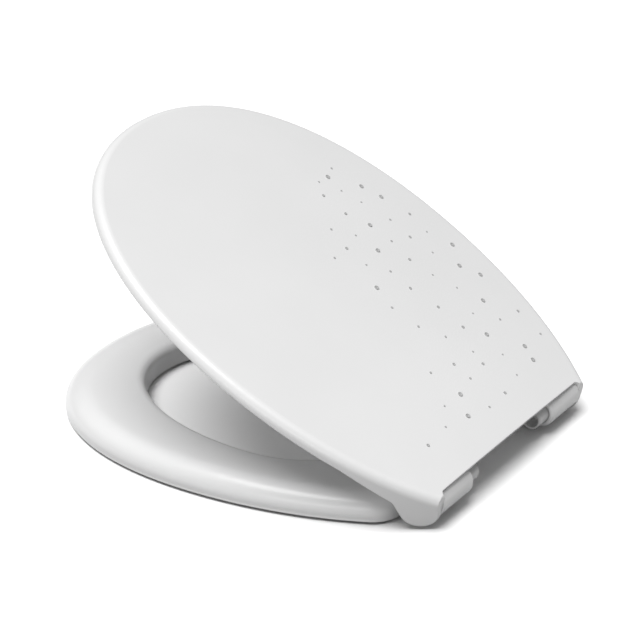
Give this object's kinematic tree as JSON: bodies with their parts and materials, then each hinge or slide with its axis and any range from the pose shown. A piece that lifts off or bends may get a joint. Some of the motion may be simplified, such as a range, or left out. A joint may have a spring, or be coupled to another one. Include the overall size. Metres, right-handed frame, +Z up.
{
  "type": "toilet seat",
  "caption": "Egg-shaped toilet seat with a domed, dimpled lid over an open ring, both turning on one soft-close hinge with damper cartridges in its barrels.",
  "frame": {"origin": "middle of the footprint, on the plane of the bowl's rim that the ring's buffers stand on", "axes": "+Z up, -Y to the front of the seat, +Y to the hinge, +X to the right as seen from the front"},
  "size_m": [0.375, 0.4174, 0.2392],
  "materials": {
    "shell": "gloss",
    "cartridge": "satin",
    "bush": "satin",
    "rotor": "satin",
    "seal": "matte",
    "buffer": "matte"
  },
  "bodies": {
    "hinge": {"left_damper_housing": "cartridge", "right_damper_housing": "cartridge", "left_damper_cap": "cartridge", "right_damper_cap": "cartridge", "left_shaft_seal": "seal", "right_shaft_seal": "seal"},
    "seat": {"seat_ring": "shell", "seat_damper_rotor": "rotor", "left_hinge_bush": "bush", "right_hinge_bush": "bush", "front_left_ring_buffer": "buffer", "front_right_ring_buffer": "buffer", "rear_left_ring_buffer": "buffer", "rear_right_ring_buffer": "buffer"},
    "lid": {"lid": "shell", "lid_damper_rotor": "rotor", "lid_drive_bush": "bush", "lid_pivot_bush": "bush", "left_lid_buffer": "buffer", "right_lid_buffer": "buffer"}
  },
  "joints": [
    {"name": "seat_hinge", "type": "hinge", "parent": "hinge", "child": "seat", "pos_m": [0, 0.19585, 0.0205], "axis": [-1, 0, 0], "range_deg": [0, 95]},
    {"name": "lid_hinge", "type": "hinge", "parent": "seat", "child": "lid", "pos_m": [0, 0.19585, 0.0205], "axis": [-1, 0, 0], "range_deg": [-30.4, 74.6]}
  ]
}
